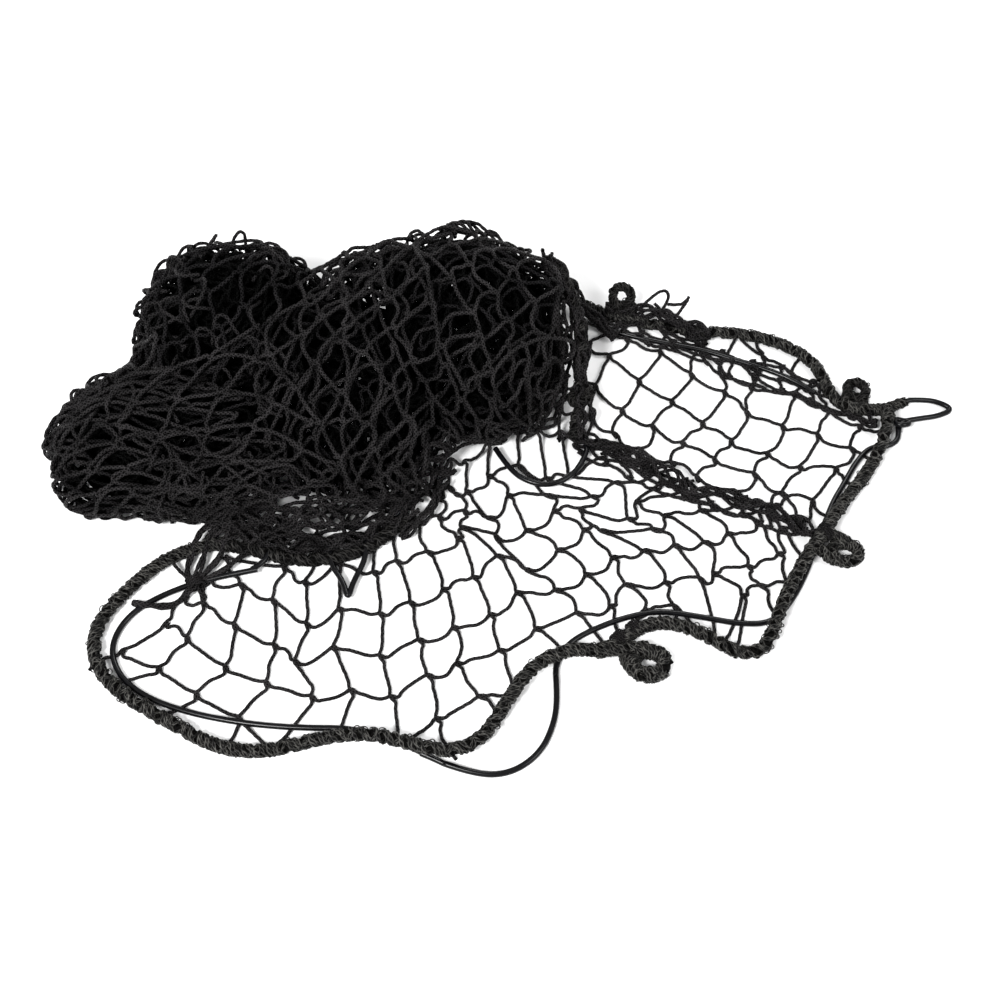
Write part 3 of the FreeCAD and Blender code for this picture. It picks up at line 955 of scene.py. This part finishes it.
def helix(line, radius, pitch, turns_at, hand, wobble, seed, step=0.0022):
    """A yarn wound round a line."""
    random = np.random.default_rng(seed)
    length = length_of(line)
    around = math.hypot(2 * math.pi * radius, pitch) / pitch
    count = max(12, int(length * around / step))
    centre = even_line(line, count)[None]
    _, side, other = frames(centre)
    along = np.linspace(0, length, count)
    knots = np.arange(0, length + 0.02, 0.01)
    drift = np.interp(along, knots, random.normal(0, wobble, len(knots)))
    angle = hand * (2 * np.pi * along / pitch + turns_at + drift)
    size = radius * (1 + 0.06 * hand * np.cos(5 * 2 * np.pi * along / pitch * 2 + seed % 5))
    return (centre[0] + side[0] * (np.cos(angle) * size)[:, None]
            + other[0] * (np.sin(angle) * size)[:, None])[None]


def rope_tubes(line, radius, seed):
    """Lumpy core, yarns braided over it both ways, and small loops of yarn on its surface."""
    random = np.random.default_rng(seed)
    tubes = Tubes()
    radius = radius * PULLED
    count = max(10, int(length_of(line) / 0.002))
    core = even_line(line, count)
    tubes.add(core[None], radius * 0.78, 12, ridges=4, pitch=0.014, relief=0.08)
    for hand, yarns, thick in YARNS:
        for yarn in range(yarns):
            pitch = YARN_PITCH * random.uniform(0.90, 1.10)
            wound = helix(line, radius * 0.84, pitch, 2 * math.pi / yarns * yarn, hand, 0.42,
                          seed + yarn)
            tubes.add(wound, radius * thick * random.uniform(0.85, 1.15), 6, relief=0.16,
                      pitch=0.0060, slot=1)
    tangents, side, other = frames(core[None])
    loops = max(2, int(length_of(line) / LOOP_GAP))
    k = (random.uniform(0.01, 0.99, loops) * (count - 1)).astype(int)
    angle = random.uniform(0, 2 * np.pi, loops)
    out = side[0][k] * np.cos(angle)[:, None] + other[0][k] * np.sin(angle)[:, None]
    out[:, 2] = np.abs(out[:, 2]) * 0.8
    way = random.choice([-1, 1], loops) * random.uniform(0.0016, 0.0040, loops)
    ahead = tangents[0][k] * way[:, None]
    tall = random.uniform(0.0012, 0.0034, loops)[:, None]
    foot = core[k] + out * radius * 0.9
    path = np.stack([foot - ahead * math.cos(a) + out * tall * math.sin(a)
                     for a in np.linspace(-0.6, np.pi + 0.6, 8)], axis=1)
    tubes.add(b_spline(path, 2), 0.00055, 4, relief=0.0, slot=1)
    return tubes


def make_rope(name, line, seed, *nodes):
    yarn = DARK_YARN_LOOK if name.startswith(("gathered", "border_heap", "heap")) else YARN_LOOK
    tubes = rope_tubes(line, SLEEVE if "sleeve" in name else ROPE, seed)
    return put(tubes.mesh(name + "_rope", PAINTED_SHADE_CORE_LOOK, yarn), "root", "border_rope", *nodes)


ROPES = {name: make_rope(name, LINES[name], 20 * number, name)
         for number, name in enumerate(ROUTES) if not name.startswith("cord")}

# Where one length of the border runs on into the next, through its lashing.
LINKS = {
    "band_link": [(-288, -60, 7), (-300, -57, 7), (-314, -60, 7)],
    "near_link": [(100, -175, 8), (111, -166, 7), (121, -156, 7)],
    "right_link": [(310, -65, 18), (319, -53, 18), (328, -40, 18)],
    "corner_link": [(409, 90, 16), (414, 104, 14), (411, 112, 9), (398, 112, 8)],
    "sleeve_link": [(398, 111, 8), (412, 112, 9), (426, 118, 8)],
    "far_link": [(144, 240, 7), (131, 243, 7), (118, 246, 7)],
    "heap_link": [(64, 270, 17), (56, 277, 34), (46, 272, 62), (40, 258, 88), (46, 238, 104)],
}
for number, (link_name, route) in enumerate(LINKS.items()):
    make_rope(link_name, line_through(route), 400 + 20 * number)


# ---- eyelets
# Each eyelet is a turn of the rope: centre, ring and rope radius (mm), the way that its rope
# leaves the border and the lean about it (degrees), then the necks that join it to the border.
EYELETS = {
    "eyelet_near": ((134, -192, 9), 16.5, 8.4, 48, 0, [[(84, -181, 9), (102, -179, 12),
        (118, -177, 12), (134, -175, 10)], [(119, -199, 7), (112, -190, 7), (110, -178, 7),
        (113, -166, 7)]]),
    "eyelet_right": ((343, -68, 7), 14, 6.6, 56, 0, [[(312, -60, 17), (324, -50, 14),
        (338, -50, 9), (347, -55, 7)], [(332, -77, 7), (322, -74, 9), (314, -64, 14)]]),
    "eyelet_corner": ((386, 140, 6.5), 11, 5.6, 141, 0, [[(368, 119, 7), (372, 130, 8),
        (378, 142, 7)], [(392, 131, 7), (392, 120, 8), (384, 111, 7)]]),
    "eyelet_far": ((130, 261, 25), 11, 5.6, 166, -45, [[(124, 244, 9), (122, 250, 13),
        (121, 256, 18)], [(140, 242, 9), (141, 249, 13), (140, 255, 18)]]),
    "eyelet_heap": ((77, 113, 33), 11, 5.6, 90, -27, [[(77, 133, 43), (77, 127, 41),
        (75, 121, 38)], [(76, 103, 28), (74, 98, 24), (73, 93, 22)]]),
}
NECK_ROPE = 6.4              # the thickest rope radius of a neck, in millimetres
LARGE_ROPE = 6               # above this rope radius an eyelet is light and squeezed
LARGE_SQUEEZE = 0.80


def ring_line(centre, radius, heading, lean, squeeze):
    """A closed turn, leaning about its heading, drawn as one long line that meets itself."""
    axis = Vector((math.cos(math.radians(heading)), math.sin(math.radians(heading)), 0))
    angles = np.radians(np.arange(0, 361, 12))
    flat = [Vector((math.cos(a), math.sin(a) * squeeze, 0)) * radius for a in angles]
    turn = Matrix.Rotation(math.radians(lean), 3, axis)
    return np.array([turn @ point + Vector(centre) for point in flat]) * MM


for number, (eyelet_name, facts) in enumerate(EYELETS.items()):
    centre, ring, rope, heading, lean, necks = facts
    body = "root" if eyelet_name == "eyelet_heap" else eyelet_name
    yarn, squeeze = (YARN_LOOK, LARGE_SQUEEZE) if rope > LARGE_ROPE else (DARK_YARN_LOOK, 1.0)
    line = ring_line(centre, ring * 0.96, heading, lean, squeeze)
    piece = rope_tubes(line, rope * MM, 700 + number).mesh(eyelet_name + "_rope", PAINTED_SHADE_CORE_LOOK, yarn)
    put(piece, body, "eyelet_rope", eyelet_name)
    for side_number, neck in enumerate(necks):
        line = line_through(neck)
        tubes = rope_tubes(line, min(rope, NECK_ROPE) * MM, 800 + 10 * number + side_number)
        piece = tubes.mesh(f"{eyelet_name}_neck_{side_number}", PAINTED_SHADE_CORE_LOOK, yarn)
        if body == "root":
            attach(piece, "root")
        else:
            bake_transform(piece)


# ---- bunched twine
def bundle(name, route, strands, spread, seed):
    """Strands that wander round a route, closer and further apart along it."""
    line = line_through(route)
    random = np.random.default_rng(seed)
    count = max(8, int(length_of(line) / 0.006))
    core = even_line(line, count)
    _, side, other = frames(core[None])
    along = np.linspace(0, length_of(line), count)
    paths = []
    for _ in range(strands):
        phase = random.uniform(0, 2 * np.pi, 4)
        length = 0.055 * random.uniform(0.7, 1.6, 2)
        a = spread * np.sin(2 * np.pi * along / length[0] + phase[0]) * random.uniform(0.5, 1.0)
        b = spread * np.sin(2 * np.pi * along / length[1] + phase[1]) * random.uniform(0.4, 0.9)
        path = core + side[0] * b[:, None] + other[0] * a[:, None]
        path[:, 2] = np.maximum(path[:, 2], TWINE * 1.05)
        paths.append(path)
    tubes = Tubes()
    tubes.add(b_spline(np.array(paths), 3), TWINE, 7)
    return tubes.mesh(name + "_twine", TWINE_LOOK)


# Gathered strands: route in millimetres, how many, how far they wander (mm) and the seed.
BUNCHES = {
    "netting_fold": ([(78, 76, 7), (104, 62, 7), (134, 50, 7), (164, 26, 8), (200, 4, 8),
        (236, -6, 7), (270, -14, 7), (304, -36, 7), (316, -46, 8)], 4, 9.5, 5),
    "band": ([(-100, -16, 9), (-128, -44, 10), (-168, -60, 10), (-220, -62, 10),
        (-264, -52, 10), (-312, -44, 9)], 9, 13, 900),
    "band_upper": ([(-96, 4, 12), (-150, -24, 16), (-215, -40, 20), (-280, -30, 14),
        (-330, -20, 9)], 6, 14, 901),
    "lashed_left": ([(-306, -30, 14), (-320, -50, 13), (-327, -78, 8), (-328, -96, 6),
        (-318, -104, 6)], 3, 3, 902),
    "lashed_middle": ([(-296, -30, 14), (-309, -52, 13), (-314, -84, 8), (-317, -103, 6)], 3, 3,
        903),
    "lashed_right": ([(-282, -34, 14), (-292, -56, 13), (-300, -84, 8), (-316, -104, 6)], 3, 3,
        904),
    "lashed_far_right": ([(-250, -60, 10), (-276, -72, 9), (-294, -94, 7), (-317, -104, 6)], 3,
        2.5, 905),
    "lashed_side": ([(-346, -74, 7), (-334, -92, 6), (-317, -104, 5)], 1, 1, 906),
    "below_cord": ([(-316, -104, 6), (-330, -124, 5), (-356, -131, 4), (-377, -124, 5)], 4, 3.5,
        907),
    "below_lash": ([(-317, -102, 6), (-312, -114, 4), (-305, -126, 3)], 2, 1.2, 908),
    "far_edge": ([(112, 252, 12), (142, 250, 16), (170, 243, 17), (196, 228, 14),
        (230, 218, 9)], 6, 9, 909),
    "far_knot": ([(166, 252, 14), (186, 240, 16), (200, 222, 12), (226, 206, 6)], 5, 7, 910),
    "heap_corner": ([(60, 262, 60), (82, 246, 34), (100, 228, 18), (122, 214, 8)], 7, 7, 911),
    "heap_edge": ([(44, 246, 108), (62, 222, 94), (74, 192, 78), (78, 160, 60), (78, 122, 38),
        (76, 92, 20), (80, 72, 9)], 6, 10, 912),
    "fold_tangle": ([(104, 66, 8), (134, 48, 10), (158, 32, 10), (190, 10, 8)], 3, 10, 913),
    "front_corner": ([(-68, 18, 8), (-82, -12, 9), (-92, -34, 9), (-112, -50, 8)], 4, 9, 914),
    "front_edge": ([(-64, 40, 12), (-92, 10, 14), (-114, -10, 14), (-140, -28, 12)], 4, 13,
        915),
}
for bunch_name, (route, strands, wander, seed) in BUNCHES.items():
    nodes = [bunch_name] if bunch_name == "netting_fold" else []
    put(bundle(bunch_name, route, strands, wander * MM, seed), "root", "netting_twine", *nodes)

# Single loose loops that stand up beside the far border, and a cut end.
STRAYS = {
    "stray_loop_high": [(150, 250, 14), (164, 262, 22), (180, 272, 25), (187, 264, 20),
        (178, 252, 13)],
    "stray_loop_low": [(184, 258, 14), (196, 252, 19), (204, 254, 24), (207, 259, 26)],
    "stray_end": [(190, 238, 12), (199, 247, 19), (206, 256, 25)],
    "stray_corner": [(396, 60, 12), (404, 66, 18), (402, 74, 20), (396, 72, 16)],
}
for stray_name, route in STRAYS.items():
    piece = single_tube(stray_name, line_through(route), 30, TWINE, 8, TWINE_LOOK)
    put(piece, "root", "netting_twine")

# Twine wound tightly round a bunch: middle (mm), direction, radius, turns and pitch.
WRAPS = {
    "lash": ((-317, -103, 8.5), (0.6, -0.8, 0), 0.0068, 5, 0.0026),
    "eyelet_tie_low": ((106, -166, 9), (0.7, 0.7, 0), 0.0068, 5, 0.0026),
    "eyelet_tie_high": ((121, -154, 8), (0.75, 0.66, 0), 0.0066, 4, 0.0026),
    "right_eyelet_tie": ((322, -50, 17), (0.6, 0.8, 0), 0.0080, 4, 0.0028),
}
for wrap_name, (middle, direction, radius, turns, pitch) in WRAPS.items():
    half = turns * pitch / 2
    along = np.linspace(-half, half, 12)[:, None]
    line = np.array(middle) * MM + unit(np.array(direction)) * along
    tubes = Tubes()
    tubes.add(helix(line, radius, pitch, 0.3, 1.0, 0.05, 3, 0.0016), 0.0011, 6)
    put(tubes.mesh(wrap_name, TWINE_LOOK), "root", "netting_twine")

# ---- cords
CORDS = {}
for joint in frame["joints"]:
    child = joint["child"]
    if child in ROUTES:
        bight = single_tube(child + "_line", LINES[child], 60, CORD, 18, CORD_LOOK, relief=0.0)
        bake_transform(bight)
        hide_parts(child)
        CORDS[child] = bight
for route_name, route in ROUTES.items():
    if route_name.startswith("cord") and route_name not in CORDS:
        curve = spline_curve(route_name + "_line", route)
        curve.data.bevel_depth = CORD
        curve.data.bevel_resolution = 4
        curve.data.use_fill_caps = True
        curve.data.materials.append(CORD_LOOK)
        CORDS[route_name] = put(curve, "root", "coated_cord", route_name)

# Where the cord runs on beneath the rope or the heap, and the knot beside the corner.
BRIDGES = {
    "cord_under_front": [(-84, -281, 3), (-72, -286, 3), (-62, -291, 3)],
    "cord_under_middle": [(44, -202, 3), (44, -196, 3), (45, -190, 3)],
    "cord_left_end": [(-262, -88, 8), (-250, -82, 9), (-246, -70, 9)],
    "cord_mid_end": [(72, 34, 8), (82, 50, 8), (84, 66, 8), (78, 80, 8)],
    "kink_left_end": [(-176, -90, 7), (-181, -82, 8), (-184, -70, 9), (-184, -56, 10)],
    "kink_right_end": [(-153, -90, 7), (-149, -81, 8), (-147, -70, 9), (-147, -56, 10)],
    "sleeve_mouth": [(443, 125, 8), (436, 123, 8), (429, 120, 8)],
    "corner_knot": [(424, 84, 5), (425, 93, 5), (434, 98, 6), (436, 91, 10), (426, 88, 12),
        (419, 93, 9), (423, 101, 6), (431, 99, 5), (436, 99, 5)],
}
for bridge_name, route in BRIDGES.items():
    piece = single_tube(bridge_name, line_through(route), 14 * len(route), CORD * 0.985, 16,
                        CORD_LOOK, relief=0.0)
    put(piece, "root", "coated_cord")
